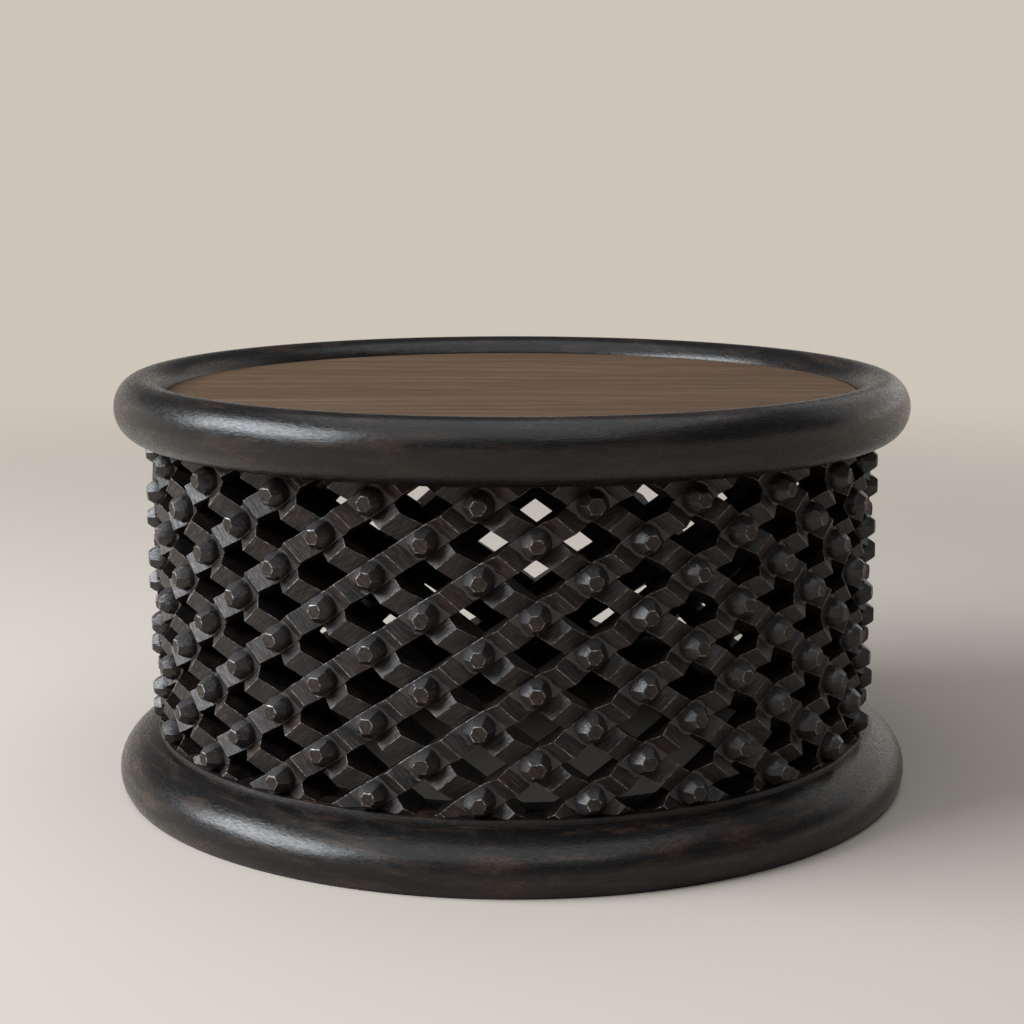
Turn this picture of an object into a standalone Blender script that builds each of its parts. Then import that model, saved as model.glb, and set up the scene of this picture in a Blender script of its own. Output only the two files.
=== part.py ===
"""Low round stool with an openwork drum wall.

A recessed tray top and a thick base ring are held apart by slanting bars. Rising bars climb
to the right, falling bars drop to the right, and they lap over one another all round the
drum. Every crossing carries a faceted knob. The stool stands on the ground at z = 0, its
axis is Z, and its front faces -Y.
"""

import math

import bmesh
import bpy
from mathutils import Matrix, Vector

MM = 0.001

# Whole stool: the base ring and the wall take their radii from the rim's
RIM_RADIUS = 300.0 * MM
STOOL_HEIGHT = 310.0 * MM
BASE_OVERHANG = 4.0 * MM
WALL_SETBACK = 34.0 * MM
SEAT_GAP = 0.3 * MM

# Top rim: an upright oval tube with a shelf inside it that carries the tray panel
RIM_WIDTH = 40.0 * MM
RIM_HEIGHT = 44.8 * MM
TRAY_DEPTH = 13.5 * MM
PANEL_THICKNESS = 12.0 * MM

# Base ring: a flat-bottomed half-round with a low step that the bars stand on
BASE_BULGE_HEIGHT = 12.0 * MM
BASE_BULGE_WIDTH = 41.0 * MM
BASE_CROWN_HEIGHT = 41.0 * MM
BASE_STEP_HEIGHT = 3.0 * MM
BASE_STEP_LEDGE = 8.0 * MM

# Openwork wall
BARS_EACH_WAY = 23
CROSSINGS_PER_BAR = 9
RIDGE_HEIGHT = 7.0 * MM
BAR_WIDTH = 18.2 * MM
RIDGE_WIDTH = 17.0 * MM
FALLING_RIDGE_SHIFT = 3.0 * MM

# How far a ridge turns from the crossing bars' direction, 0, to square to its own bar, 1
RIDGE_SQUARENESS = 0.35

# Depth and seat of the wall
WALL_DEPTH = 25.0 * MM
LAP_DEPTH = 12.0 * MM
WALL_TO_RING_EDGE = 4.0 * MM
WALL_TURN = math.radians(-4.5)

# From the end rows of crossings to the rings
LOWEST_ROW_RISE = 9.8 * MM
HIGHEST_ROW_DROP = 14.2 * MM

# Knobs
KNOB_SIDES = 6
KNOB_RADIUS = 10.5 * MM
KNOB_MARGIN = 0.3 * MM
KNOB_CAP_RADIUS = 5.3 * MM
KNOB_HEIGHT = 12.5 * MM

# Facets
RING_STEPS = 48
RIM_ARC_STEPS = 8
BASE_ARC_STEPS = 4
MERGE_DISTANCE = 0.01 * MM

# Heights
RIM_UNDERSIDE = STOOL_HEIGHT - RIM_HEIGHT
PANEL_TOP = STOOL_HEIGHT - TRAY_DEPTH
SHELF_TOP = PANEL_TOP - PANEL_THICKNESS - SEAT_GAP
BASE_SEAT = BASE_CROWN_HEIGHT + BASE_STEP_HEIGHT

# Radii
BASE_RADIUS = RIM_RADIUS + BASE_OVERHANG
PLATE_RADIUS = RIM_RADIUS - WALL_SETBACK
BASE_STEP_RADIUS = PLATE_RADIUS + BASE_STEP_LEDGE
RING_INNER_RADIUS = PLATE_RADIUS - WALL_DEPTH - WALL_TO_RING_EDGE
RIM_TUBE_CENTRE = RIM_RADIUS - RIM_WIDTH / 2
BASE_CROWN_RADIUS = BASE_RADIUS - BASE_BULGE_WIDTH
RIDGE_RADIUS = PLATE_RADIUS + RIDGE_HEIGHT
LAP_RADIUS = PLATE_RADIUS - LAP_DEPTH
WALL_INNER_RADIUS = PLATE_RADIUS - WALL_DEPTH

# Wall pattern: rows are evenly spaced between the rings, columns evenly round the drum
LOWEST_ROW = BASE_SEAT + LOWEST_ROW_RISE
HIGHEST_ROW = RIM_UNDERSIDE - HIGHEST_ROW_DROP
WALL_MIDDLE = (LOWEST_ROW + HIGHEST_ROW) / 2
ROW_RISE = (HIGHEST_ROW - LOWEST_ROW) / (CROSSINGS_PER_BAR - 1)
BAR_TURN = 2 * math.pi / BARS_EACH_WAY
CROSSING_TURN = BAR_TURN / 2
CROSSING_ARC = PLATE_RADIUS * CROSSING_TURN
CROSSING_SPACING = math.hypot(CROSSING_ARC, ROW_RISE)
BAR_SLOPE = math.atan2(ROW_RISE, CROSSING_ARC)

# A bar's half width measured along the bar that crosses it
SKEW = math.sin(2 * BAR_SLOPE)
HALF_BAR = BAR_WIDTH / 2 / SKEW
HALF_RIDGE = RIDGE_WIDTH / 2 / SKEW
RIDGE_LEAN = RIDGE_SQUARENESS * math.cos(2 * BAR_SLOPE)
LAP_GAP = SEAT_GAP / SKEW

# A plate is just long enough for its knob, but no wider than its bar, which trims the knob's foot
HALF_PLATE = (KNOB_RADIUS + KNOB_MARGIN) / SKEW
KNOB_LIMIT = BAR_WIDTH / 2 - KNOB_MARGIN

# A bar's back is flat from ridge to ridge, so it lies this far inside its true circle
LAP_SAG = LAP_RADIUS * (1 - math.cos(CROSSING_TURN / 2))


def new_collection(name):
    """A collection of that name in the scene."""
    collection = bpy.data.collections.new(name)
    bpy.context.scene.collection.children.link(collection)
    return collection


def new_material(name, colour, roughness):
    """A plain wood finish."""
    material = bpy.data.materials.new(name)
    material.use_nodes = True
    shader = material.node_tree.nodes["Principled BSDF"]
    shader.inputs["Base Color"].default_value = (*colour, 1.0)
    shader.inputs["Roughness"].default_value = roughness
    shader.inputs["Metallic"].default_value = 0.0
    material.diffuse_color = (*colour, 1.0)
    return material


def add_object(name, mesh, collection):
    """An object for a mesh, linked to a collection."""
    piece = bpy.data.objects.new(name, mesh)
    collection.objects.link(piece)
    return piece


def smooth_round_faces(mesh):
    """Smooth shading that keeps the true edges sharp."""
    mesh.shade_smooth()
    mesh.set_sharp_from_angle(angle=math.radians(30))


def mesh_from(bm, name):
    """A mesh with all its faces pointing out."""
    bmesh.ops.recalc_face_normals(bm, faces=bm.faces)
    mesh = bpy.data.meshes.new(name)
    bm.to_mesh(mesh)
    bm.free()
    return mesh


def oval_arc(centre, half_width, half_height, start, end, steps):
    """Points on an upright oval, from one angle to another, as (radius, height)."""
    points = []
    for step in range(steps + 1):
        angle = start + (end - start) * step / steps
        points.append((centre[0] + half_width * math.cos(angle),
                       centre[1] + half_height * math.sin(angle)))
    return points


def turned_ring(name, profile, material, collection):
    """A ring turned about Z from a closed profile that runs down its outer side."""
    bm = bmesh.new()
    corners = [bm.verts.new((radius, 0.0, height)) for radius, height in profile]
    sides = [bm.edges.new(ends) for ends in zip(corners, corners[1:] + corners[:1])]
    bmesh.ops.spin(bm, geom=corners + sides, cent=(0.0, 0.0, 0.0), axis=(0.0, 0.0, 1.0),
                   angle=2 * math.pi, steps=RING_STEPS, use_merge=True)
    mesh = mesh_from(bm, name)
    smooth_round_faces(mesh)
    mesh.materials.append(material)
    return add_object(name, mesh, collection)


def rim_profile():
    """The rim's section: an oval tube, a flat underside and a shelf for the panel."""
    centre = (RIM_TUBE_CENTRE, RIM_UNDERSIDE + RIM_HEIGHT / 2)
    tray_angle = math.pi - math.asin((PANEL_TOP - centre[1]) / (RIM_HEIGHT / 2))
    half_width = RIM_WIDTH / 2
    half_height = RIM_HEIGHT / 2
    inside = oval_arc(centre, half_width, half_height, tray_angle, math.pi / 2, 2)
    outside = oval_arc(centre, half_width, half_height, math.pi / 2, -math.pi / 2, RIM_ARC_STEPS)
    shelf = [(RING_INNER_RADIUS, RIM_UNDERSIDE),
             (RING_INNER_RADIUS, SHELF_TOP),
             (inside[0][0], SHELF_TOP)]
    return inside[:-1] + outside + shelf


def base_profile():
    """The base ring's section: a bulging outer side, a flat bottom and a raised step."""
    centre = (BASE_CROWN_RADIUS, BASE_BULGE_HEIGHT)
    half_height = BASE_CROWN_HEIGHT - BASE_BULGE_HEIGHT
    step_angle = math.acos((BASE_STEP_RADIUS - BASE_CROWN_RADIUS) / BASE_BULGE_WIDTH)
    ground_angle = -math.asin(BASE_BULGE_HEIGHT / half_height)
    upper = oval_arc(centre, BASE_BULGE_WIDTH, half_height, step_angle, 0.0, BASE_ARC_STEPS)
    lower = oval_arc(centre, BASE_BULGE_WIDTH, half_height, 0.0, ground_angle, 2)
    inner = [(RING_INNER_RADIUS, lower[-1][1]),
             (RING_INNER_RADIUS, BASE_SEAT),
             (BASE_STEP_RADIUS, BASE_SEAT)]
    return upper[:-1] + lower + inner


def make_panel(material, collection):
    """The tray panel, a disc that drops into the rim and rests on its shelf."""
    radius = rim_profile()[0][0] - SEAT_GAP
    bm = bmesh.new()
    place = Matrix.Translation((0.0, 0.0, PANEL_TOP - PANEL_THICKNESS / 2))
    bmesh.ops.create_cone(bm, cap_ends=True, segments=RING_STEPS, radius1=radius, radius2=radius,
                          depth=PANEL_THICKNESS, matrix=place)
    mesh = mesh_from(bm, "top_panel")
    smooth_round_faces(mesh)
    mesh.materials.append(material)
    return add_object("top_panel", mesh, collection)


def rolled(along, across, radius, rising):
    """A point of a flat bar, rolled round the drum.

    Distances run along the bar and along the bars that cross it, and both slope alike."""
    up_bar, down_bar = (along, across) if rising else (across, along)
    turn = WALL_TURN + (up_bar + down_bar) * math.cos(BAR_SLOPE) / PLATE_RADIUS
    height = WALL_MIDDLE + (up_bar - down_bar) * math.sin(BAR_SLOPE)
    return Vector((radius * math.sin(turn), -radius * math.cos(turn), height))


def crossings(count):
    """Places of that many crossings along a bar, from its middle crossing."""
    first = -CROSSING_SPACING * (CROSSINGS_PER_BAR - 1) / 2
    return [first + number * CROSSING_SPACING for number in range(count)]


def plate_radius_at(along, across):
    """Radius of a plate's corner. A plate is a flat square to the drum at its crossing."""
    nearest = min(crossings(CROSSINGS_PER_BAR), key=lambda place: abs(place - along))
    turn = (along - nearest + across) * math.cos(BAR_SLOPE) / PLATE_RADIUS
    return PLATE_RADIUS / math.cos(turn)


def plate_cell():
    """A rising bar's face over one crossing: down from a ridge, a flat plate, up to a ridge."""
    return [(-HALF_PLATE, PLATE_RADIUS), (HALF_PLATE, PLATE_RADIUS)]


def notch_cell():
    """A falling bar's face over one crossing, notched for the rising bar that laps over it."""
    edge = HALF_BAR + LAP_GAP
    floor = LAP_RADIUS - LAP_SAG - SEAT_GAP
    return [(-edge, PLATE_RADIUS), (-edge, floor), (edge, floor), (edge, PLATE_RADIUS)]


def bar_side(bm, cell, back_radius, ridge_shift):
    """The long side of a flat bar: a zigzag outline, one face for each crossing."""
    tip = CROSSING_SPACING * (CROSSINGS_PER_BAR + 1) / 2 - HALF_BAR - LAP_GAP
    centres = crossings(CROSSINGS_PER_BAR)
    ridges = [x - CROSSING_SPACING / 2 - ridge_shift for x in crossings(CROSSINGS_PER_BAR + 1)]
    stations = [-tip, *ridges, tip]
    front_radii = [PLATE_RADIUS] + [RIDGE_RADIUS] * len(ridges) + [PLATE_RADIUS]
    front_corners = [bm.verts.new((x, 0.0, radius)) for x, radius in zip(stations, front_radii)]
    back_corners = [bm.verts.new((x, 0.0, back_radius)) for x in stations]
    faces = []
    for number in range(len(stations) - 1):
        between = []
        if 0 < number < len(stations) - 2:
            centre = centres[number - 1]
            between = [bm.verts.new((centre + x, 0.0, radius)) for x, radius in cell]
        loop = [back_corners[number + 1], back_corners[number], front_corners[number],
                *between, front_corners[number + 1]]
        faces.append(bm.faces.new(loop))
    return faces


def cut_level(bm, height, keep_above):
    """Saw the bar off level where it meets a ring."""
    normal = Vector((0.0, 0.0, -1.0 if keep_above else 1.0))
    everything = bm.verts[:] + bm.edges[:] + bm.faces[:]
    bmesh.ops.bisect_plane(bm, geom=everything, plane_co=(0.0, 0.0, height), plane_no=normal,
                           clear_outer=True)
    open_edges = [edge for edge in bm.edges if edge.is_boundary]
    bmesh.ops.holes_fill(bm, edges=open_edges, sides=0)


def bar_mesh(name, cell, back_radius, rising):
    """A bar: its side outline drawn flat, thickened, narrowed at the ridges and rolled.

    Rising bars lie on top at the crossings, so they are the ones that carry the knobs. The
    ridges of a rising bar are midway between its knobs, and those of a falling bar are
    carved a little nearer to the crossing above. A ridge leans toward square to its bar."""
    bm = bmesh.new()
    side = bar_side(bm, cell, back_radius, 0.0 if rising else FALLING_RIDGE_SHIFT)
    grown = bmesh.ops.extrude_face_region(bm, geom=side)
    far_side = {item for item in grown["geom"] if isinstance(item, bmesh.types.BMVert)}
    back = [face for face in bm.faces
            if all(abs(corner.co.z - back_radius) < MERGE_DISTANCE for corner in face.verts)]
    for corner in bm.verts:
        along, _, radius = corner.co
        on_ridge = abs(radius - RIDGE_RADIUS) < MERGE_DISTANCE
        half = HALF_RIDGE if on_ridge else HALF_BAR
        across = half if corner in far_side else -half
        if on_ridge:
            along -= across * RIDGE_LEAN
        if abs(radius - PLATE_RADIUS) < MERGE_DISTANCE:
            radius = plate_radius_at(along, across)
        corner.co = rolled(along, across, radius, rising)
    # The back's faces twist as they roll, and the short diagonal keeps them off the bar behind
    bmesh.ops.triangulate(bm, faces=back, quad_method="SHORT_EDGE")
    cut_level(bm, BASE_SEAT + SEAT_GAP, keep_above=True)
    cut_level(bm, RIM_UNDERSIDE - SEAT_GAP, keep_above=False)
    if rising:
        grow_knobs(bm)
    return mesh_from(bm, name)


def grow_knob(bm, plate, along):
    """A faceted knob on one plate of a rising bar, with a flat side at its top and bottom.

    Corners of its foot that would reach past the bar's edges are pulled in."""
    crossing = rolled(along, 0.0, PLATE_RADIUS, rising=True)
    outward = Vector((crossing.x, crossing.y, 0.0)).normalized()
    up = Vector((0.0, 0.0, 1.0))
    right = up.cross(outward)
    turn = Matrix((-up, right, outward)).transposed().to_4x4()
    place = Matrix.Translation(crossing + outward * KNOB_HEIGHT / 2) @ turn
    cone = bmesh.ops.create_cone(bm, segments=KNOB_SIDES, radius1=KNOB_RADIUS,
                                 radius2=KNOB_CAP_RADIUS, depth=KNOB_HEIGHT, matrix=place)
    foot = {corner for corner in cone["verts"]
            if (corner.co - crossing).dot(outward) < KNOB_HEIGHT / 2}
    cap = set(cone["verts"]) - foot
    to_bar_edge = up * math.cos(BAR_SLOPE) - right * math.sin(BAR_SLOPE)
    for corner in foot:
        spoke = corner.co - crossing
        reach = max(abs(spoke.dot(to_bar_edge)), KNOB_LIMIT)
        corner.co = crossing + spoke * KNOB_LIMIT / reach
    rings = [[edge for edge in bm.edges if set(edge.verts) <= ring] for ring in (foot, cap)]
    around = list(plate.edges)
    bmesh.ops.delete(bm, geom=[plate], context="FACES_ONLY")
    bmesh.ops.triangle_fill(bm, edges=around + rings[0], normal=outward, use_beauty=True)
    bmesh.ops.edgeloop_fill(bm, edges=rings[1])


def grow_knobs(bm):
    """One knob on each plate of a rising bar."""
    for along in crossings(CROSSINGS_PER_BAR):
        centre = rolled(along, 0.0, PLATE_RADIUS, rising=True)
        plate = min(bm.faces, key=lambda face: (face.calc_center_median() - centre).length)
        grow_knob(bm, plate, along)


def copies_round(mesh, material, collection):
    """Copies of one bar, evenly round the drum, all sharing its mesh."""
    mesh.materials.append(material)
    for count in range(BARS_EACH_WAY):
        bar = add_object(f"{mesh.name}_{count + 1:02d}", mesh, collection)
        bar.rotation_euler.z = count * BAR_TURN


def build():
    """Clear the scene and model the whole stool."""
    for item in list(bpy.data.objects):
        bpy.data.objects.remove(item)
    parts = new_collection("bamileke_stool")

    panel_wood = new_material("tray_wood", (0.105, 0.075, 0.052), 0.5)
    rim_wood = new_material("rim_wood", (0.022, 0.020, 0.019), 0.3)
    base_wood = new_material("base_wood", (0.022, 0.020, 0.019), 0.33)
    rising_wood = new_material("rising_bar_wood", (0.034, 0.029, 0.026), 0.42)
    falling_wood = new_material("falling_bar_wood", (0.030, 0.026, 0.023), 0.45)

    make_panel(panel_wood, parts)
    turned_ring("top_rim", rim_profile(), rim_wood, parts)
    turned_ring("base_ring", base_profile(), base_wood, parts)

    rising = bar_mesh("rising_bar", plate_cell(), LAP_RADIUS, rising=True)
    falling = bar_mesh("falling_bar", notch_cell(), WALL_INNER_RADIUS, rising=False)
    copies_round(rising, rising_wood, parts)
    copies_round(falling, falling_wood, parts)


build()
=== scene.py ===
"""Looks of the round openwork stool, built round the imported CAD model.

Every CAD piece is replaced by a finer mesh of the same size in the same place. The bars keep
their 23 places each way, and their chiselled facets and knobs differ a little from one to the
next, as hand work does. Sizes are in millimetres, and MM turns them to metres. The floor, the
lights and the camera are placed in metres.
"""

import math
import random
from typing import NamedTuple

import bmesh
import bpy
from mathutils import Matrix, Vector
from mathutils.geometry import delaunay_2d_cdt


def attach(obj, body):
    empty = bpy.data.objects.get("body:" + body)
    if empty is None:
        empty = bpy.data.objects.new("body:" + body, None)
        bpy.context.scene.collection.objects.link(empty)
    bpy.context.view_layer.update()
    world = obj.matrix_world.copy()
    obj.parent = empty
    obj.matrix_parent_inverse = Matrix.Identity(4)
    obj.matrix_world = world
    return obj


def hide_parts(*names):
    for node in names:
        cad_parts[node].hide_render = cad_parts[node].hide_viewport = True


MM = 0.001

# Sizes of the CAD model, which the finer meshes keep
STOOL_HEIGHT = 310.0
RIM_RADIUS = 300.0
RIM_WIDTH = 40.0
RIM_HEIGHT = 44.8
TRAY_DEPTH = 13.5
PANEL_THICKNESS = 12.0
BASE_OVERHANG = 4.0
BASE_BULGE_HEIGHT = 12.0
BASE_BULGE_WIDTH = 41.0
BASE_CROWN_HEIGHT = 41.0
BASE_STEP_HEIGHT = 3.0
BASE_STEP_LEDGE = 8.0
SEAT_GAP = 0.3

WALL_SETBACK = 34.0
WALL_DEPTH = 25.0
WALL_TO_RING_EDGE = 4.0
WALL_TURN = math.radians(-4.5)
LOWEST_ROW_RISE = 9.8
HIGHEST_ROW_DROP = 14.2
BARS_EACH_WAY = 23
CROSSINGS_PER_BAR = 9
BAR_WIDTH = 18.2
LAP_DEPTH = 12.0
RIDGE_HEIGHT = 7.0
RIDGE_WIDTH = 17.0
RIDGE_SQUARENESS = 0.35
FALLING_RIDGE_SHIFT = 3.0
KNOB_RADIUS = 10.5
KNOB_HEIGHT = 12.5
KNOB_CAP_APOTHEM = 4.6

# Heights and radii that follow from them
RIM_UNDERSIDE = STOOL_HEIGHT - RIM_HEIGHT
TRAY_TOP = STOOL_HEIGHT - TRAY_DEPTH
BASE_SEAT = BASE_CROWN_HEIGHT + BASE_STEP_HEIGHT
BASE_RADIUS = RIM_RADIUS + BASE_OVERHANG
PLATE_RADIUS = RIM_RADIUS - WALL_SETBACK
BASE_STEP_RADIUS = PLATE_RADIUS + BASE_STEP_LEDGE
RING_INNER_RADIUS = PLATE_RADIUS - WALL_DEPTH - WALL_TO_RING_EDGE
LOWEST_ROW = BASE_SEAT + LOWEST_ROW_RISE
HIGHEST_ROW = RIM_UNDERSIDE - HIGHEST_ROW_DROP
WALL_MIDDLE = (LOWEST_ROW + HIGHEST_ROW) / 2

# The bars' pattern. Half widths are measured along the bars that cross
ROW_RISE = (HIGHEST_ROW - LOWEST_ROW) / (CROSSINGS_PER_BAR - 1)
BAR_TURN = 2 * math.pi / BARS_EACH_WAY
CROSSING_ARC = PLATE_RADIUS * BAR_TURN / 2
SPACING = math.hypot(CROSSING_ARC, ROW_RISE)
SLOPE = math.atan2(ROW_RISE, CROSSING_ARC)
SKEW = math.sin(2 * SLOPE)
HALF_BAR = BAR_WIDTH / 2 / SKEW
HALF_RIDGE = RIDGE_WIDTH / 2 / SKEW
HALF_NOTCH = HALF_BAR + SEAT_GAP / SKEW
RIDGE_LEAN = RIDGE_SQUARENESS * math.cos(2 * SLOPE)
TIP = SPACING * (CROSSINGS_PER_BAR + 1) / 2 - HALF_NOTCH

# Fineness of the meshes
RING_STEPS = 288
RIM_ARC_STEPS = 56
BASE_ARC_STEPS = 48
SPOT_STEPS = 48
FACET_STEPS = 4
BORDER_HALVINGS = 24
RING_SHARP_ANGLE = math.radians(35)
BAR_SHARP_ANGLE = math.radians(17)
WELD_DISTANCE = 0.004
DRAWING_TOLERANCE = 0.0005
SLIVER = 0.001
AXIS_RADIUS = 0.01

# Eased edges of the rings and of the panel
STEP_EASE = 0.8
STEP_EASE_SHARE = 0.3
PANEL_EASE = 0.4

# Carving of the bars: worn strips along the edges and ridges, and a cleared spot round each knob
EDGE = 0.3
EDGE_DROP = 0.2
EDGE_INSET = EDGE / SKEW
RIDGE_EDGE = 0.3
SPOT_RADIUS = 12.3
SPOT_WALL = 0.4
SPOT_WALL_CLIMB = 0.08
PLATE_STATION = 6.0
NOTCH_CLEARANCE = 0.9
SECTIONS_PER_SIDE_FACET = 5

# Knobs
KNOB_FACETS = 6
KNOB_FOOT_APOTHEM = 11.0
KNOB_TAPER = 0.4
KNOB_CORNER = math.radians(2.6)
KNOB_ROUNDING = 1.5
KNOB_LEVELS = (0.0, 0.06, 0.16, 0.3, 0.5, 0.75, 0.965)
KNOB_EDGE_GAP = 0.05
CAP_EDGE = 0.4
LEAST_FACING = 0.15
LEAST_EDGE_FACING = 0.05

# Tones: knob facets that face one side are painted lighter, a painted highlight on that side of every
# knob
PAINTED_HIGHLIGHT_SIDE = math.radians(145)
PAINTED_HIGHLIGHT_FALLOFF = 3
PAINTED_HIGHLIGHT_SHARE = 0.75
PLATE_TONE = 0.55
PLAIN_TONE = 0.5

# Least and most of each thing that hand work varies. Turns are in degrees
RIDGE_SWAY = (-0.8, 0.8)
RIDGE_WEAR = (-0.7, 0.2)
RIDGE_TRIM = (-0.4, 0.3)
PLATE_REACH = (11.7, 12.5)
KNOB_TURN = (-9.0, 9.0)
FACET_TURN = (-5.0, 5.0)
FACET_FOOT_TRIM = (-0.5, 0.4)
FACET_CAP_SHARES = (0.88, 1.14)
KNOB_WEAR = (0.0, 0.9)
KNOB_SHIFT = (-0.35, 0.35)
KNOB_RADIUS_TRIM = (-0.3, 0.2)
GRAIN_START = (0.0, 900.0)

# Seeds of the random draws, to which a bar's number is added
RISING_SEED = 1000
FALLING_SEED = 2000

# Material slots of the bars
FRONT, WORN, SIDE, CAP, KNOB = range(5)

# What all the wood finishes share
LAYERS_PER_TONE = 40.0
NOISE_ROUGHNESS = 0.5
RUB_SOFTNESS = 0.13
STREAK_RANGE = (0.36, 0.62)
STREAK_LEAST = 0.15
GREY_SOFTNESS = 0.12
ROUGHNESS_STREAKS = (0.3, 0.7)
ROUGHNESS_CHANGE = 0.08
DENT_DEPTH = 1.0
STREAK_DEPTH = 0.25

# The mix node's sockets for colours, which share their names with its others
MIX_FACTOR, MIX_FIRST, MIX_SECOND = 0, 6, 7
MIX_RESULT = 2

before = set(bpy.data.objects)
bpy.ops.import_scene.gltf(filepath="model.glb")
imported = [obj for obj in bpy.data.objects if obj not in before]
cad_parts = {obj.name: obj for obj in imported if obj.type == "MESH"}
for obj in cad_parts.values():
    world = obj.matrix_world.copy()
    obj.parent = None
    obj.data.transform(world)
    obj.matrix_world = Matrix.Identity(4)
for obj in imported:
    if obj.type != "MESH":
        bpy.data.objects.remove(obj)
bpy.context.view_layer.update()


# Node trees

def add_node(tree, kind, inputs=None, **settings):
    """A node with its inputs set, or linked where the value is another node's output."""
    node = tree.nodes.new(kind)
    for name, value in settings.items():
        setattr(node, name, value)
    for key, value in (inputs or {}).items():
        if isinstance(value, bpy.types.NodeSocket):
            tree.links.new(value, node.inputs[key])
        else:
            node.inputs[key].default_value = value
    return node


def spread(tree, value, low, high, to_low=0.0, to_high=1.0):
    """A value between two limits, spread smoothly over another range."""
    node = add_node(tree, "ShaderNodeMapRange",
                    {"Value": value, "From Min": low, "From Max": high, "To Min": to_low,
                     "To Max": to_high}, interpolation_type="SMOOTHSTEP")
    return node.outputs["Result"]


def maths(tree, operation, first, second):
    """Two values added, multiplied or the like."""
    return add_node(tree, "ShaderNodeMath", {0: first, 1: second},
                    operation=operation).outputs["Value"]


def blend_colours(tree, factor, first, second):
    """A mix of two colours, each a node's output or its red, green and blue."""
    first, second = [value if isinstance(value, bpy.types.NodeSocket) else (*value, 1.0)
                     for value in (first, second)]
    node = add_node(tree, "ShaderNodeMix",
                    {MIX_FACTOR: factor, MIX_FIRST: first, MIX_SECOND: second}, data_type="RGBA")
    return node.outputs[MIX_RESULT]


def noise(tree, vector, layer, scale, detail, distortion):
    """Noise with a scale for each axis, per millimetre. Each facet reads its own layer of it."""
    mapping = add_node(tree, "ShaderNodeMapping", {"Vector": vector, "Scale": scale})
    node = add_node(tree, "ShaderNodeTexNoise",
                    {"Vector": mapping.outputs["Vector"], "W": layer, "Scale": 1.0,
                     "Detail": detail, "Roughness": NOISE_ROUGHNESS, "Distortion": distortion},
                    noise_dimensions="4D")
    return node.outputs["Fac"]


def wood(name, dark, brown, grey, streak, patch, dent, roughness, shine, brown_from, grey_from,
         streak_bump, dent_bump=0.2, tone_range=0.0):
    """Dark stained wood: a dark coat rubbed through to brown in streaks, with greyer scratches.

    streak, patch and dent are the scales of the fine streaks, of the rubbed patches and of the
    tool's dents. brown_from and grey_from say how high the noise is where brown and grey show.
    tone_range is how much lighter one chiselled facet is than another. On the knobs the tone also
    carries a painted highlight on one side."""
    material = bpy.data.materials.new(name)
    material.use_nodes = True
    tree = material.node_tree
    shader = tree.nodes["Principled BSDF"]
    grain = add_node(tree, "ShaderNodeAttribute", attribute_name="grain").outputs["Vector"]
    tone = add_node(tree, "ShaderNodeAttribute", attribute_name="tone").outputs["Fac"]
    layer = maths(tree, "MULTIPLY", tone, LAYERS_PER_TONE)
    fine = noise(tree, grain, layer, streak, detail=2.0, distortion=0.25)
    broad = noise(tree, grain, layer, patch, detail=3.0, distortion=0.4)
    dents = noise(tree, grain, layer, dent, detail=2.0, distortion=0.2)
    rubbed = maths(tree, "MULTIPLY",
                   spread(tree, broad, brown_from - RUB_SOFTNESS, brown_from + RUB_SOFTNESS),
                   spread(tree, fine, *STREAK_RANGE, STREAK_LEAST, 1.0))
    colour = blend_colours(tree, rubbed, dark, brown)
    scratched = spread(tree, fine, grey_from, grey_from + GREY_SOFTNESS)
    colour = blend_colours(tree, scratched, colour, grey)
    if tone_range:
        lighter = maths(tree, "MULTIPLY", tone, tone_range)
        colour = blend_colours(tree, lighter, colour, grey)
    tree.links.new(colour, shader.inputs["Base Color"])
    shader.inputs["Specular IOR Level"].default_value = shine
    uneven = spread(tree, fine, *ROUGHNESS_STREAKS, roughness + ROUGHNESS_CHANGE,
                    roughness - ROUGHNESS_CHANGE)
    tree.links.new(uneven, shader.inputs["Roughness"])
    coarse = add_node(tree, "ShaderNodeBump",
                      {"Height": dents, "Strength": dent_bump, "Distance": DENT_DEPTH * MM})
    bump = add_node(tree, "ShaderNodeBump",
                    {"Height": fine, "Strength": streak_bump, "Distance": STREAK_DEPTH * MM,
                     "Normal": coarse.outputs["Normal"]})
    tree.links.new(bump.outputs["Normal"], shader.inputs["Normal"])
    return material


# Meshes

class Solid:
    """Points, faces and grain coordinates of one piece, in millimetres until it is made."""

    def __init__(self):
        self.points = []
        self.faces = []

    def point(self, place, grain):
        """Adds a point and returns its number."""
        self.points.append((place, grain))
        return len(self.points) - 1

    def face(self, corners, slot=0, tone=PLAIN_TONE):
        """Adds a face with its material slot and its facet's tone from 0 to 1."""
        self.faces.append((corners, slot, tone))

    def make(self, name, materials, sharp_angle, cuts=()):
        """The finished object, welded, with its normals out and its sharp edges marked.

        A cut is a height and whether what lies above it stays."""
        bm = bmesh.new()
        grain_layer = bm.verts.layers.float_vector.new("grain")
        tone_layer = bm.faces.layers.float.new("tone")
        corners = []
        for place, grain in self.points:
            corner = bm.verts.new(Vector(place) * MM)
            corner[grain_layer] = Vector(grain)
            corners.append(corner)
        for numbers, slot, tone in self.faces:
            face = bm.faces.new([corners[number] for number in numbers])
            face.material_index = slot
            face[tone_layer] = tone
        bmesh.ops.remove_doubles(bm, verts=bm.verts, dist=WELD_DISTANCE * MM)
        bmesh.ops.recalc_face_normals(bm, faces=bm.faces)
        for height, keep_above in cuts:
            cut_level(bm, height * MM, keep_above)
        mesh = bpy.data.meshes.new(name)
        bm.to_mesh(mesh)
        bm.free()
        mesh.shade_smooth()
        mesh.set_sharp_from_angle(angle=sharp_angle)
        for material in materials:
            mesh.materials.append(material)
        piece = bpy.data.objects.new(name, mesh)
        bpy.context.scene.collection.objects.link(piece)
        return piece


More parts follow.
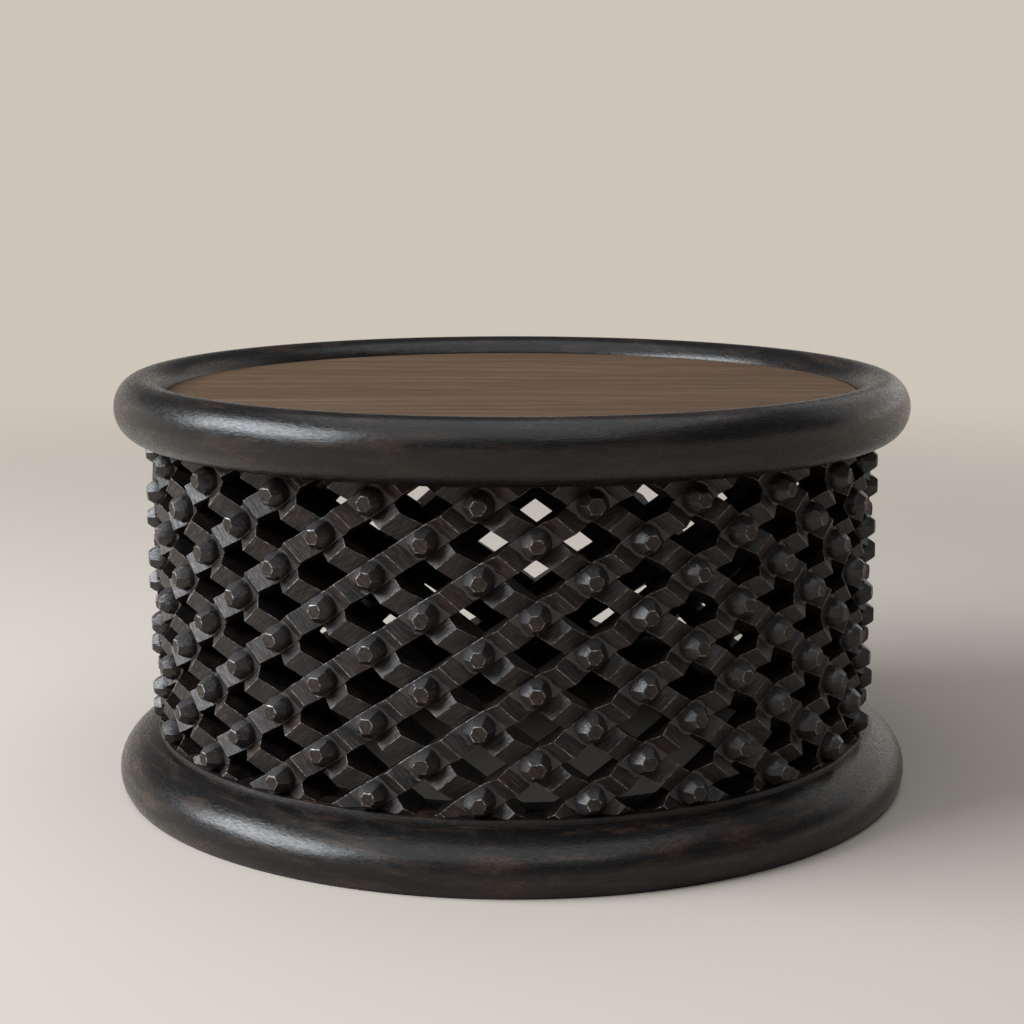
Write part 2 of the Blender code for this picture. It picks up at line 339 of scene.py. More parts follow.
def cut_level(bm, height, keep_above):
    """Cuts a mesh flat at a height and closes the cut."""
    bmesh.ops.bisect_plane(bm, geom=bm.verts[:] + bm.edges[:] + bm.faces[:],
                           plane_co=(0.0, 0.0, height),
                           plane_no=(0.0, 0.0, -1.0 if keep_above else 1.0), clear_outer=True)
    open_edges = [edge for edge in bm.edges if edge.is_boundary
                  and all(abs(end.co.z - height) < SLIVER * MM for end in edge.verts)]
    bmesh.ops.holes_fill(bm, edges=open_edges, sides=0)


def oval_arc(centre, half_width, half_height, start, end, steps):
    """Points on an upright oval, from one angle to another, as (radius, height)."""
    points = []
    for step in range(steps + 1):
        angle = start + (end - start) * step / steps
        points.append((centre[0] + half_width * math.cos(angle),
                       centre[1] + half_height * math.sin(angle)))
    return points


def turned(name, profile, materials):
    """A closed profile turned about Z. Its grain runs round it, and then along its profile."""
    solid = Solid()
    travel = 0.0
    rings = []
    for number, (radius, height) in enumerate(profile):
        if number:
            travel += math.dist(profile[number - 1], (radius, height))
        ring = []
        for step in range(RING_STEPS):
            angle = 2 * math.pi * step / RING_STEPS
            along_x, along_y = math.sin(angle), -math.cos(angle)
            ring.append(solid.point((radius * along_x, radius * along_y, height),
                                    (RIM_RADIUS * along_x, RIM_RADIUS * along_y, travel)))
        rings.append(ring)
    for first, second in zip(rings, rings[1:] + rings[:1]):
        for step in range(RING_STEPS):
            following = (step + 1) % RING_STEPS
            solid.face((first[step], first[following], second[following], second[step]))
    return solid.make(name, materials, RING_SHARP_ANGLE)


def rim_profile():
    """The rim's section, finer than the CAD one. It starts at the tray's edge."""
    centre = (RIM_RADIUS - RIM_WIDTH / 2, RIM_UNDERSIDE + RIM_HEIGHT / 2)
    tray_angle = math.pi - math.asin((TRAY_TOP - centre[1]) / (RIM_HEIGHT / 2))
    arc = oval_arc(centre, RIM_WIDTH / 2, RIM_HEIGHT / 2, tray_angle, -math.pi / 2, RIM_ARC_STEPS)
    shelf = TRAY_TOP - PANEL_THICKNESS - SEAT_GAP
    return arc + [(RING_INNER_RADIUS, RIM_UNDERSIDE), (RING_INNER_RADIUS, shelf), (arc[0][0], shelf)]


def base_profile():
    """The base ring's section, finer than the CAD one, with its step's edge eased."""
    centre = (BASE_RADIUS - BASE_BULGE_WIDTH, BASE_BULGE_HEIGHT)
    half_height = BASE_CROWN_HEIGHT - BASE_BULGE_HEIGHT
    step_angle = math.acos((BASE_STEP_RADIUS - centre[0]) / BASE_BULGE_WIDTH)
    ground_angle = -math.asin(BASE_BULGE_HEIGHT / half_height)
    arc = oval_arc(centre, BASE_BULGE_WIDTH, half_height, step_angle, ground_angle, BASE_ARC_STEPS)
    eased = STEP_EASE * STEP_EASE_SHARE
    step = [(RING_INNER_RADIUS, 0.0), (RING_INNER_RADIUS, BASE_SEAT),
            (BASE_STEP_RADIUS - STEP_EASE, BASE_SEAT), (BASE_STEP_RADIUS - eased, BASE_SEAT - eased),
            (BASE_STEP_RADIUS, BASE_SEAT - STEP_EASE)]
    return arc + step


def panel_profile():
    """The tray panel's section, from its middle out and back, with its top edge eased."""
    radius = rim_profile()[0][0] - SEAT_GAP
    underside = TRAY_TOP - PANEL_THICKNESS
    return [(AXIS_RADIUS, TRAY_TOP), (radius / 2, TRAY_TOP), (radius - PANEL_EASE, TRAY_TOP),
            (radius, TRAY_TOP - PANEL_EASE), (radius, underside), (AXIS_RADIUS, underside)]


# Bars. A bar is drawn on the flattened wall: x runs round the drum, y up for a rising bar and
# down for a falling one, and (s, t) are distances along the bar and along the bars it crosses.

def to_plane(s, t):
    """(x, y) of skew coordinates."""
    return ((s + t) * math.cos(SLOPE), (s - t) * math.sin(SLOPE))


def to_skew(x, y):
    """(s, t) of a point on the flattened wall."""
    across, up = x / math.cos(SLOPE), y / math.sin(SLOPE)
    return ((across + up) / 2, (across - up) / 2)


def leaned(s, t, lift):
    """(x, y) of skew coordinates on a front. Ridges lean toward square to their bar."""
    return to_plane(s - t * RIDGE_LEAN * max(0.0, lift) / RIDGE_HEIGHT, t)


def inside(loop, x, y):
    """Whether a point lies inside a closed loop."""
    within = False
    for (last_x, last_y), (next_x, next_y) in zip(loop, loop[1:] + loop[:1]):
        if (last_y > y) != (next_y > y):
            if x < (next_x - last_x) * (y - last_y) / (next_y - last_y) + last_x:
                within = not within
    return within


class Drawing:
    """Lines on the flattened wall that the triangles of a front keep to."""

    def __init__(self):
        self.points = []
        self.edges = []

    def line(self, places, closed=False):
        """Adds a run of edges and returns the numbers of its points."""
        first = len(self.points)
        self.points += [Vector(place) for place in places]
        numbers = list(range(first, len(self.points)))
        self.edges += zip(numbers, numbers[1:])
        if closed:
            self.edges.append((numbers[-1], numbers[0]))
        return numbers

    def triangles(self, outline):
        """Points and triangles inside the outline, with extra points where lines cross."""
        inside_outline = 1
        found, _, faces, *_ = delaunay_2d_cdt(self.points, self.edges, [outline], inside_outline,
                                              DRAWING_TOLERANCE)
        return found, faces


class Knob:
    """A knob's facets, its size and how it sits, a little different each time."""

    def __init__(self, rng):
        turn = math.radians(90 + rng.uniform(*KNOB_TURN))
        self.facets = []
        for number in range(KNOB_FACETS):
            angle = turn + 2 * math.pi * number / KNOB_FACETS + math.radians(rng.uniform(*FACET_TURN))
            self.facets.append((angle, KNOB_FOOT_APOTHEM + rng.uniform(*FACET_FOOT_TRIM),
                                KNOB_CAP_APOTHEM * rng.uniform(*FACET_CAP_SHARES)))
        self.height = KNOB_HEIGHT - rng.uniform(*KNOB_WEAR)
        self.shift = (rng.uniform(*KNOB_SHIFT), rng.uniform(*KNOB_SHIFT))
        self.radius = KNOB_RADIUS + rng.uniform(*KNOB_RADIUS_TRIM)
        self.facings = sorted(facet[0] for facet in self.facets)

    def reach(self, angle, level):
        """Its radius in one direction at a level from 0 at its foot to 1 at its cap."""
        reach = self.radius - KNOB_TAPER * level
        for facet, foot, cap in self.facets:
            facing = math.cos(angle - facet)
            if facing > LEAST_FACING:
                apothem = foot + (cap - foot) * level ** KNOB_ROUNDING
                reach = min(reach, apothem / facing)
        edge_facing = max(LEAST_EDGE_FACING, abs(math.cos(angle - (SLOPE + math.pi / 2))))
        return min(reach, (BAR_WIDTH / 2 - EDGE - KNOB_EDGE_GAP) / edge_facing)

    def angles(self):
        """Directions at which its rings have points, with a narrow strip at each corner."""
        before = [self.facings[-1] - 2 * math.pi] + self.facings[:-1]
        after = self.facings[1:] + [self.facings[0] + 2 * math.pi]
        angles = []
        for last, facing, following in zip(before, self.facings, after):
            start = (facing + last) / 2 + KNOB_CORNER
            end = (facing + following) / 2 - KNOB_CORNER
            angles += [start + (end - start) * step / FACET_STEPS for step in range(FACET_STEPS + 1)]
        return angles


class Station(NamedTuple):
    """A section across a bar's front: its place along the bar, half width and lift off the wall.

    flat says how much it keeps to the plane that touches the drum at centre_x. worn says that
    the strip from here to the next station is worn."""

    s: float
    half: float
    lift: float
    flat: float = 0.0
    centre_x: float = 0.0
    worn: bool = False


class Bar(Solid):
    """One bar as it was carved, with its own ridges, plates and facets."""

    def __init__(self, number, rising):
        super().__init__()
        self.rng = random.Random((RISING_SEED if rising else FALLING_SEED) + number)
        self.rising = rising
        self.turn = number * BAR_TURN
        self.back = -LAP_DEPTH if rising else -WALL_DEPTH
        self.grain_start = [self.rng.uniform(*GRAIN_START) for _ in range(3)]
        self.ridges = []
        self.heights = []
        self.half_ridges = []
        first = -SPACING * CROSSINGS_PER_BAR / 2 - (0.0 if rising else FALLING_RIDGE_SHIFT)
        for ridge in range(CROSSINGS_PER_BAR + 1):
            self.ridges.append(first + ridge * SPACING + self.rng.uniform(*RIDGE_SWAY))
            self.heights.append(RIDGE_HEIGHT + self.rng.uniform(*RIDGE_WEAR))
            self.half_ridges.append(HALF_RIDGE + self.rng.uniform(*RIDGE_TRIM))
        self.plates = [(self.rng.uniform(*PLATE_REACH), self.rng.uniform(*PLATE_REACH))
                       for _ in range(CROSSINGS_PER_BAR)]
        self.facet_tones = {}

    def tone(self, *facet):
        """The tone of one facet, the same each time it is asked for."""
        if facet not in self.facet_tones:
            self.facet_tones[facet] = self.rng.random()
        return self.facet_tones[facet]

    def centre(self, cell):
        """Place of a crossing along the bar."""
        return (cell - (CROSSINGS_PER_BAR - 1) / 2) * SPACING

    def ridge_beside(self, cell, s):
        """Number of the ridge on the side of a crossing that s is on."""
        return cell + 1 if s > self.centre(cell) else cell

    def half_width(self, cell, s):
        """Half width at s: wide at the plates, narrow at the ridges."""
        ridge = self.ridge_beside(cell, s)
        away = abs(s - self.centre(cell))
        reach = abs(self.ridges[ridge] - self.centre(cell))
        share = min(1.0, max(0.0, (away - HALF_NOTCH) / (reach - HALF_NOTCH)))
        return HALF_BAR + (self.half_ridges[ridge] - HALF_BAR) * share

    def climb(self, cell, s):
        """(how far up to the ridge from 0 to 1, the ridge's height) at s."""
        ridge = self.ridge_beside(cell, s)
        plate = self.plates[cell][ridge - cell]
        away = abs(s - self.centre(cell))
        reach = abs(self.ridges[ridge] - self.centre(cell)) - RIDGE_EDGE
        return min(1.0, max(0.0, (away - plate) / (reach - plate))), self.heights[ridge]

    def cell_stations(self, cell):
        """Places along a cell, from ridge to ridge, that its long edges have points at."""
        left, right = self.ridges[cell], self.ridges[cell + 1]
        centre = self.centre(cell)
        before, after = self.plates[cell]
        return sorted([left, left + RIDGE_EDGE, centre - before, centre - HALF_NOTCH,
                       centre - PLATE_STATION, centre, centre + PLATE_STATION,
                       centre + HALF_NOTCH, centre + after, right - RIDGE_EDGE, right])

    def ridge_station(self, ridge, away=0.0, worn=False):
        """A section at a ridge, or a little away from it."""
        return Station(self.ridges[ridge] + away, self.half_ridges[ridge], self.heights[ridge],
                       worn=worn)

    def rolled(self, x, y, lift, flat=0.0, centre_x=0.0):
        """A point over the flattened wall, rolled round the drum and lifted off it."""
        angle = WALL_TURN + self.turn + x / PLATE_RADIUS
        radius = PLATE_RADIUS + lift
        radius += PLATE_RADIUS * (1 / math.cos((x - centre_x) / PLATE_RADIUS) - 1) * flat
        return (radius * math.sin(angle), -radius * math.cos(angle),
                WALL_MIDDLE + (y if self.rising else -y))

    def corner(self, s, t, depth, place):
        """Adds a point with its grain coordinates across the bar, along it and into it."""
        start = self.grain_start
        return self.point(place, (s + start[0], t + start[1], depth + start[2]))

    def front_corner(self, station, t, drop):
        """Adds a point of the front, dropped a little below its section's lift."""
        x, y = leaned(station.s, t, station.lift)
        place = self.rolled(x, y, station.lift - drop, station.flat, station.centre_x)
        return self.corner(station.s, t, station.lift, place)

    def section(self, station, drop=EDGE_DROP):
        """Points across the front: its flat middle between two dropped edges."""
        inner = station.half - EDGE_INSET
        return [self.front_corner(station, -station.half, drop),
                self.front_corner(station, -inner, 0.0),
                self.front_corner(station, inner, 0.0),
                self.front_corner(station, station.half, drop)]

    def plain_front(self, stations):
        """A plain stretch of the front, with a worn strip along each side."""
        rows = [self.section(station) for station in stations]
        for first, second, station in zip(rows, rows[1:], stations):
            for number in range(3):
                worn = station.worn or number != 1
                self.face((first[number], first[number + 1], second[number + 1], second[number]),
                          WORN if worn else FRONT, self.tone("front", station.s))

    def notch_station(self, cell, side, lift=0.0):
        """A section at one wall of a notch, at the front or at another depth."""
        x = to_plane(self.centre(cell), 0.0)[0]
        return Station(self.centre(cell) + side * HALF_NOTCH, HALF_BAR, lift,
                       0.0 if lift else 1.0, x)

    def carve_notch(self, cell):
        """Floor and two walls of a falling bar's notch."""
        floor = -LAP_DEPTH - NOTCH_CLEARANCE
        rows = [self.section(self.notch_station(cell, -1)),
                self.section(self.notch_station(cell, -1, floor), 0.0),
                self.section(self.notch_station(cell, 1, floor), 0.0),
                self.section(self.notch_station(cell, 1))]
        for first, second in zip(rows, rows[1:]):
            for number in range(3):
                self.face((first[number], first[number + 1], second[number + 1], second[number]),
                          SIDE)

    def carve_knob(self, centre_x, centre_y, knob):
        """A knob standing on its plate. Returns its foot as points on the flattened wall."""
        angles = knob.angles()
        facing = WALL_TURN + self.turn + centre_x / PLATE_RADIUS
        outward = Vector((math.sin(facing), -math.cos(facing), 0.0))
        rings = []
        foot = []
        for level, inset in [(level, 0.0) for level in KNOB_LEVELS] + [(1.0, CAP_EDGE)]:
            ring = []
            for angle in angles:
                reach = knob.reach(angle, level) - inset
                x = centre_x + knob.shift[0] * level + reach * math.cos(angle)
                y = centre_y + knob.shift[1] * level + reach * math.sin(angle)
                place = Vector(self.rolled(x, y, 0.0, 1.0, centre_x))
                place += outward * (knob.height * level)
                s, t = to_skew(x, y)
                ring.append(self.corner(s, t, knob.height * level, place))
                if level == 0.0:
                    foot.append((x, y))
            rings.append(ring)
        for row, (lower, upper) in enumerate(zip(rings, rings[1:])):
            for number in range(len(angles)):
                following = (number + 1) % len(angles)
                side = number // (FACET_STEPS + 1)
                # Facets that face one side get a lighter tone, a painted highlight, mixed with the
                # facet's own random tone
                painted_highlight = (0.5 + 0.5 * math.cos(knob.facings[side] - PAINTED_HIGHLIGHT_SIDE)) ** PAINTED_HIGHLIGHT_FALLOFF
                tone = (painted_highlight * PAINTED_HIGHLIGHT_SHARE
                        + (1 - PAINTED_HIGHLIGHT_SHARE) * self.tone("knob", centre_x, side))
                self.face((lower[number], lower[following], upper[following], upper[number]),
                          WORN if row == len(rings) - 2 else KNOB, tone)
        self.face(tuple(rings[-1]), CAP, self.tone("cap", centre_x))
        return foot

    def spot_arcs(self, cell, radius):
        """The parts of a circle round a knob that lie between the bar's edge strips."""
        centre_x, centre_y = to_plane(self.centre(cell), 0.0)

        def place(angle):
            """The circle's point at an angle."""
            return (centre_x + radius * math.cos(angle), centre_y + radius * math.sin(angle))

        def within(angle):
            """Whether that point lies between the edge strips."""
            s, t = to_skew(*place(angle))
            return abs(t) < self.half_width(cell, s) - EDGE_INSET

        def border(outer, inner):
            """The angle between one outside and one within at which the circle meets a strip."""
            for _ in range(BORDER_HALVINGS):
                middle = (outer + inner) / 2
                if within(middle):
                    inner = middle
                else:
                    outer = middle
            return inner

        first = SLOPE + math.pi / 2
        angles = [first + 2 * math.pi * step / SPOT_STEPS for step in range(SPOT_STEPS + 1)]
        arcs = []
        arc = []
        for last, angle in zip(angles, angles[1:]):
            if within(angle):
                arc += [angle] if arc else [border(last, angle), angle]
            elif arc:
                arcs.append([place(each) for each in arc + [border(angle, last)]])
                arc = []
        return arcs

    def draw_cell(self, cell, foot):
        """Points and triangles of the front between two ridges, on the flattened wall."""
        stations = self.cell_stations(cell)
        low = [to_plane(s, -self.half_width(cell, s)) for s in stations]
        high = [to_plane(s, self.half_width(cell, s)) for s in stations]
        drawing = Drawing()
        outline = drawing.line(low + high[::-1], closed=True)
        drawing.line([to_plane(s, EDGE_INSET - self.half_width(cell, s)) for s in stations])
        drawing.line([to_plane(s, self.half_width(cell, s) - EDGE_INSET) for s in stations])
        before, after = self.plates[cell]
        for s in (stations[1], self.centre(cell) - before, self.centre(cell) + after, stations[-2]):
            half = self.half_width(cell, s)
            drawing.line([to_plane(s, -half), to_plane(s, half)])
        for radius in (SPOT_RADIUS, SPOT_RADIUS + SPOT_WALL):
            for arc in self.spot_arcs(cell, radius):
                drawing.line(arc)
        drawing.line(foot, closed=True)
        return drawing.triangles(outline)

    def cell_finish(self, cell, away, s, t):
        """(material slot, tone) of the front at s and t, away from its knob's centre."""
        before, after = self.plates[cell]
        at_side = abs(t) > self.half_width(cell, s) - EDGE_INSET
        at_ridge = not (self.ridges[cell] + RIDGE_EDGE <= s <= self.ridges[cell + 1] - RIDGE_EDGE)
        at_spot = (SPOT_RADIUS < away < SPOT_RADIUS + SPOT_WALL
                   and self.climb(cell, s)[0] > SPOT_WALL_CLIMB)
        side = 0
        if away > SPOT_RADIUS and s < self.centre(cell) - before:
            side = -1
        elif away > SPOT_RADIUS and s > self.centre(cell) + after:
            side = 1
        tone = self.tone("front", cell, side) if side else PLATE_TONE
        if at_side or at_ridge or at_spot:
            return WORN, tone
        return FRONT if side else KNOB, tone

    def carve_cell(self, cell, knob):
        """The front of a rising bar between two ridges, with its plate and knob."""
        centre_x, centre_y = to_plane(self.centre(cell), 0.0)
        foot = self.carve_knob(centre_x, centre_y, knob)
        found, faces = self.draw_cell(cell, foot)
        numbers = []
        for place in found:
            s, t = to_skew(place.x, place.y)
            climb, height = self.climb(cell, s)
            x, y = leaned(s, t, climb * height)
            if math.dist(place, (centre_x, centre_y)) < SPOT_RADIUS + SPOT_WALL / 2:
                climb = 0.0
            lift = climb * height
            if abs(t) > self.half_width(cell, s) - EDGE_INSET / 2:
                lift -= EDGE_DROP
            numbers.append(self.corner(s, t, lift, self.rolled(x, y, lift, 1.0 - climb, centre_x)))
        for corners in faces:
            x = sum(found[corner].x for corner in corners) / len(corners)
            y = sum(found[corner].y for corner in corners) / len(corners)
            s, t = to_skew(x, y)
            away = math.hypot(x - centre_x, y - centre_y)
            under_knob = away < SPOT_RADIUS and inside(foot, x, y)
            past_side = abs(t) > self.half_width(cell, s) - SLIVER
            past_end = not self.ridges[cell] + SLIVER < s < self.ridges[cell + 1] - SLIVER
            if not (under_knob or past_side or past_end):
                self.face(tuple(numbers[corner] for corner in corners),
                          *self.cell_finish(cell, away, s, t))

    def close(self, outline):
        """Both long sides, the back and both ends. outline is the front's stations in order."""
        rows = []
        for station in outline:
            row = []
            for side in (-1, 1):
                front = self.front_corner(station, side * station.half, EDGE_DROP)
                t = side * HALF_BAR
                back = self.rolled(*to_plane(station.s, t), self.back)
                row.append((front, self.corner(station.s, t, self.back, back)))
            rows.append(row)
        for number, (first, second) in enumerate(zip(rows, rows[1:])):
            for side in (0, 1):
                self.face((first[side][0], second[side][0], second[side][1], first[side][1]), SIDE,
                          self.tone("side", side, number // SECTIONS_PER_SIDE_FACET))
            self.face((first[0][1], first[1][1], second[1][1], second[0][1]), SIDE)
        inner = HALF_BAR - EDGE_INSET
        end_corners = ((-HALF_BAR, -EDGE_DROP), (-inner, 0.0), (inner, 0.0),
                       (HALF_BAR, -EDGE_DROP), (HALF_BAR, self.back), (-HALF_BAR, self.back))
        for s in (-TIP, TIP):
            self.face(tuple(self.corner(s, t, lift, self.rolled(*to_plane(s, t), lift))
                            for t, lift in end_corners), SIDE)

    def cut_to_rings(self, name, materials):
        """The finished bar, cut flat at the base ring and at the rim."""
        return self.make(name, materials, BAR_SHARP_ANGLE,
                         cuts=((BASE_SEAT + SEAT_GAP, True), (RIM_UNDERSIDE - SEAT_GAP, False)))


def rising_bar(name, number, materials):
    """A rising bar with its knobs."""
    bar = Bar(number, rising=True)
    tips = Station(-TIP, HALF_BAR, 0.0), Station(TIP, HALF_BAR, 0.0)
    start = [tips[0], bar.ridge_station(0, -RIDGE_EDGE, worn=True), bar.ridge_station(0)]
    end = [bar.ridge_station(-1, worn=True), bar.ridge_station(-1, RIDGE_EDGE), tips[1]]
    outline = start[:2]
    for cell in range(CROSSINGS_PER_BAR):
        bar.carve_cell(cell, Knob(bar.rng))
        centre_x = to_plane(bar.centre(cell), 0.0)[0]
        for s in bar.cell_stations(cell):
            climb, height = bar.climb(cell, s)
            outline.append(Station(s, bar.half_width(cell, s), climb * height, 1.0 - climb, centre_x))
    bar.plain_front(start)
    bar.plain_front(end)
    bar.close(outline + end[1:])
    return bar.cut_to_rings(name, materials)


def falling_bar(name, number, materials):
    """A falling bar, notched where the rising bars lap over it."""
    bar = Bar(number, rising=False)
    outline = []
    for ridge in range(CROSSINGS_PER_BAR + 1):
        start = bar.notch_station(ridge - 1, 1) if ridge else Station(-TIP, HALF_BAR, 0.0)
        end = (bar.notch_station(ridge, -1) if ridge < CROSSINGS_PER_BAR
               else Station(TIP, HALF_BAR, 0.0))
        stations = [start, bar.ridge_station(ridge, -RIDGE_EDGE, worn=True),
                    bar.ridge_station(ridge, RIDGE_EDGE), end]
        bar.plain_front(stations)
        outline += stations
        if ridge:
            bar.carve_notch(ridge - 1)
        if ridge < CROSSINGS_PER_BAR:
            floor = EDGE_DROP - LAP_DEPTH - NOTCH_CLEARANCE
            outline += [bar.notch_station(ridge, side, floor) for side in (-1, 1)]
    bar.close(outline)
    return bar.cut_to_rings(name, materials)


# Materials
rim_wood = wood("rim_finish", dark=(0.006, 0.005, 0.005), brown=(0.05, 0.03, 0.02),
                grey=(0.02, 0.018, 0.018), streak=(0.22, 0.22, 0.75), patch=(0.02, 0.02, 0.12),
                dent=(0.06, 0.06, 0.12), roughness=0.31, shine=0.42, brown_from=0.6, grey_from=0.6,
                streak_bump=0.55, dent_bump=0.3)
base_wood = wood("base_finish", dark=(0.006, 0.005, 0.005), brown=(0.06, 0.036, 0.024),
                 grey=(0.02, 0.018, 0.018), streak=(0.22, 0.22, 0.75), patch=(0.025, 0.025, 0.14),
                 dent=(0.06, 0.06, 0.12), roughness=0.31, shine=0.42, brown_from=0.57, grey_from=0.6,
                 streak_bump=0.55, dent_bump=0.3)
tray_wood = wood("tray_finish", dark=(0.098, 0.06, 0.036), brown=(0.155, 0.097, 0.059),
                 grey=(0.18, 0.116, 0.072), streak=(0.02, 0.75, 1.0), patch=(0.0035, 0.07, 0.07),
                 dent=(0.03, 0.2, 0.2), roughness=0.72, shine=0.1, brown_from=0.5, grey_from=0.6,
                 streak_bump=0.1, dent_bump=0.02)
bar_wood = wood("bar_finish", dark=(0.004, 0.003, 0.003), brown=(0.064, 0.035, 0.02),
                grey=(0.062, 0.057, 0.06), streak=(1.3, 0.12, 1.3), patch=(0.14, 0.06, 0.14),
                dent=(0.25, 0.08, 0.25), roughness=0.4, shine=0.4, brown_from=0.5, grey_from=0.53,
                streak_bump=1.6, dent_bump=0.4, tone_range=0.35)
edge_wood = wood("bar_edge_finish", dark=(0.035, 0.031, 0.029), brown=(0.13, 0.1, 0.08),
                 grey=(0.36, 0.33, 0.31), streak=(0.35, 0.35, 0.35), patch=(0.2, 0.2, 0.2),
                 dent=(0.3, 0.1, 0.3), roughness=0.3, shine=0.5, brown_from=0.5, grey_from=0.48,
                 streak_bump=0.2)
# The bars' sides, backs, ends and notch walls are darker and duller than their fronts: painted shade
# for the faces that lie deep in the lattice.
side_wood = wood("bar_side_finish", dark=(0.005, 0.004, 0.004), brown=(0.03, 0.017, 0.011),
                 grey=(0.02, 0.017, 0.016), streak=(1.0, 0.15, 0.6), patch=(0.1, 0.06, 0.1),
                 dent=(0.25, 0.08, 0.25), roughness=0.5, shine=0.2, brown_from=0.54, grey_from=0.6,
                 streak_bump=0.6, dent_bump=0.3)
cap_wood = wood("knob_end_finish", dark=(0.012, 0.009, 0.007), brown=(0.05, 0.032, 0.022),
                grey=(0.07, 0.054, 0.045), streak=(1.2, 0.25, 1.2), patch=(0.3, 0.3, 0.3),
                dent=(0.5, 0.5, 0.5), roughness=0.42, shine=0.3, brown_from=0.48, grey_from=0.56,
                streak_bump=1.0, dent_bump=0.4, tone_range=0.2)
# The knobs' tone lightens their facets toward grey; on one side of each knob this is a painted
# highlight.
knob_wood = wood("knob_finish", dark=(0.009, 0.008, 0.008), brown=(0.05, 0.034, 0.025),
                 grey=(0.11, 0.104, 0.107), streak=(1.3, 1.3, 0.15), patch=(0.12, 0.12, 0.12),
                 dent=(0.3, 0.3, 0.1), roughness=0.31, shine=0.5, brown_from=0.56, grey_from=0.57,
                 streak_bump=0.9, dent_bump=0.3, tone_range=0.55)
bar_woods = [bar_wood, edge_wood, side_wood, cap_wood, knob_wood]

# Pieces
rim = turned("rim", rim_profile(), [rim_wood])
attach(rim, "root")
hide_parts("top_rim")

base = turned("base", base_profile(), [base_wood])
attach(base, "root")
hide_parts("base_ring")

# The panel is turned like the rings, but its grain runs straight across it
panel = turned("tray_panel", panel_profile(), [tray_wood])
panel_grain = panel.data.attributes["grain"]
for number, corner in enumerate(panel.data.vertices):
    panel_grain.data[number].vector = corner.co / MM
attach(panel, "root")
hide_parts("top_panel")

for number in range(BARS_EACH_WAY):
    bar = rising_bar(f"rising_{number + 1:02d}", number, bar_woods)
    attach(bar, "root")
    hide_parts(f"rising_bar_{number + 1:02d}")
    bar = falling_bar(f"falling_{number + 1:02d}", number, bar_woods[:3])
    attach(bar, "root")
    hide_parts(f"falling_bar_{number + 1:02d}")

# Floor, light and camera, in metres. The pale surroundings show to the camera and in
# reflections, and the floor throws back less light than that, like the photograph's brown one.
PALE = (0.62, 0.56, 0.49)
BOUNCE = (0.3, 0.23, 0.17)
DIM_SKY = (0.95, 0.95, 0.97)
DIM_SKY_STRENGTH = 0.05
HORIZON = (0.08, 0.3)
HIGH_SKY_SHARE = 0.15
FLOOR_FADE = (0.5, 2.6)
FLOOR_REACH = 12.0

# The camera that a fit to the photograph's outlines gave. It looks down by so many degrees
CAMERA_PLACE = (0.0, -1.49417, 0.46933)
CAMERA_DOWN = 10.2611
LENS = 68.84
SENSOR_WIDTH = 36.0


def seen_directly(tree):
    """1 for rays from the camera and for reflected and transmitted ones, otherwise 0."""
    path = add_node(tree, "ShaderNodeLightPath").outputs
    shiny = maths(tree, "MAXIMUM", path["Is Glossy Ray"], path["Is Transmission Ray"])
    return maths(tree, "MAXIMUM", path["Is Camera Ray"], shiny)


def floor_finish():
    """A matt pale floor that fades into the backdrop's own colour far from the stool."""
    material = bpy.data.materials.new("floor")
    material.use_nodes = True
    tree = material.node_tree
    shader = tree.nodes["Principled BSDF"]
    seen = seen_directly(tree)
    tree.links.new(blend_colours(tree, seen, BOUNCE, PALE), shader.inputs["Base Color"])
    shader.inputs["Roughness"].default_value = 0.9
    shader.inputs["Specular IOR Level"].default_value = 0.1
    place = add_node(tree, "ShaderNodeTexCoord").outputs["Object"]
    distance = add_node(tree, "ShaderNodeVectorMath", {0: place}, operation="LENGTH").outputs["Value"]
    far = maths(tree, "MULTIPLY", seen, spread(tree, distance, *FLOOR_FADE))
    glow = add_node(tree, "ShaderNodeEmission", {"Color": (*PALE, 1.0), "Strength": 1.0})
    both = add_node(tree, "ShaderNodeMixShader",
                    {0: far, 1: shader.outputs["BSDF"], 2: glow.outputs["Emission"]})
    tree.links.new(both.outputs["Shader"], tree.nodes["Material Output"].inputs["Surface"])
    return material


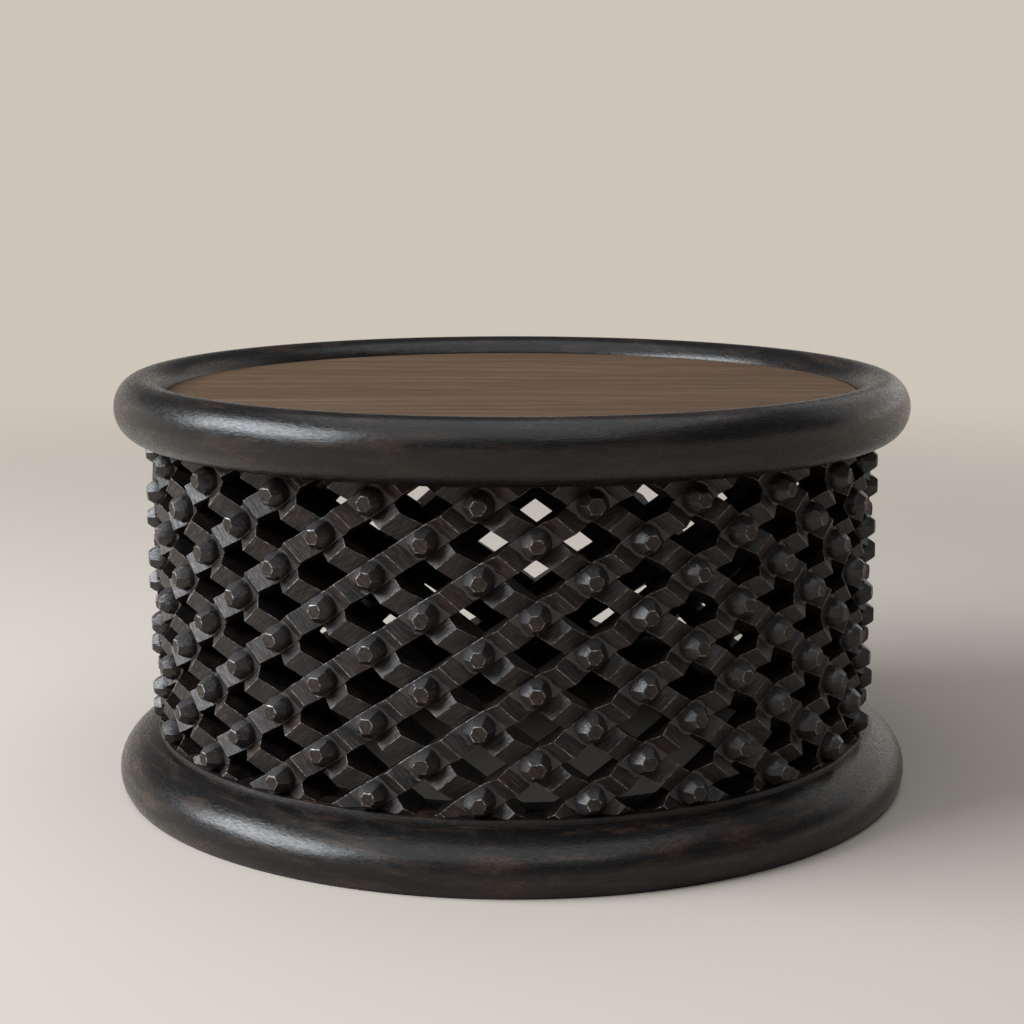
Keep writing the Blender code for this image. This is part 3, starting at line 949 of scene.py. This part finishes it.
def soft_light(name, place, target, size, power, colour):
    """A rectangular studio light aimed at a point."""
    data = bpy.data.lights.new(name, "AREA")
    data.shape = "RECTANGLE"
    data.size, data.size_y = size
    data.energy = power
    data.color = colour
    light = bpy.data.objects.new(name, data)
    light.location = place
    light.rotation_mode = "QUATERNION"
    light.rotation_quaternion = (Vector(target) - Vector(place)).to_track_quat("-Z", "Y")
    bpy.context.scene.collection.objects.link(light)


mesh = bpy.data.meshes.new("floor")
mesh.from_pydata([(x * FLOOR_REACH, y * FLOOR_REACH, 0.0)
                  for x, y in ((-1, -1), (1, -1), (1, 1), (-1, 1))], [], [(0, 1, 2, 3)])
mesh.materials.append(floor_finish())
floor = bpy.data.objects.new("floor", mesh)
bpy.context.scene.collection.objects.link(floor)

soft_light("key", (-2.85, -0.7, 1.95), (0.0, 0.0, 0.2), (2.7, 1.5), 168.0, (0.9, 0.95, 1.0))
soft_light("overhead", (0.0, -0.7, 2.3), (0.0, -0.69, 0.0), (2.6, 3.4), 34.0, (0.94, 0.97, 1.0))
soft_light("fill", (2.3, 2.2, 1.5), (0.0, 0.0, 0.15), (3.0, 2.0), 11.0, (1.0, 0.975, 0.94))

world = bpy.data.worlds.new("studio")
bpy.context.scene.world = world
world.use_nodes = True
tree = world.node_tree
sky = tree.nodes["Background"]
direction = add_node(tree, "ShaderNodeTexCoord").outputs["Generated"]
height = add_node(tree, "ShaderNodeSeparateXYZ", {"Vector": direction}).outputs["Z"]
pale_sky = maths(tree, "MULTIPLY", seen_directly(tree),
                 spread(tree, height, *HORIZON, 1.0, HIGH_SKY_SHARE))
tree.links.new(blend_colours(tree, pale_sky, DIM_SKY, PALE), sky.inputs["Color"])
tree.links.new(spread(tree, pale_sky, 0.0, 1.0, DIM_SKY_STRENGTH, 1.0), sky.inputs["Strength"])

camera_data = bpy.data.cameras.new("camera")
camera_data.lens = LENS
camera_data.sensor_width = SENSOR_WIDTH
camera = bpy.data.objects.new("camera", camera_data)
camera.location = CAMERA_PLACE
camera.rotation_euler = (math.radians(90 - CAMERA_DOWN), 0.0, 0.0)
bpy.context.scene.collection.objects.link(camera)
bpy.context.scene.camera = camera
bpy.context.scene.view_settings.view_transform = "Standard"
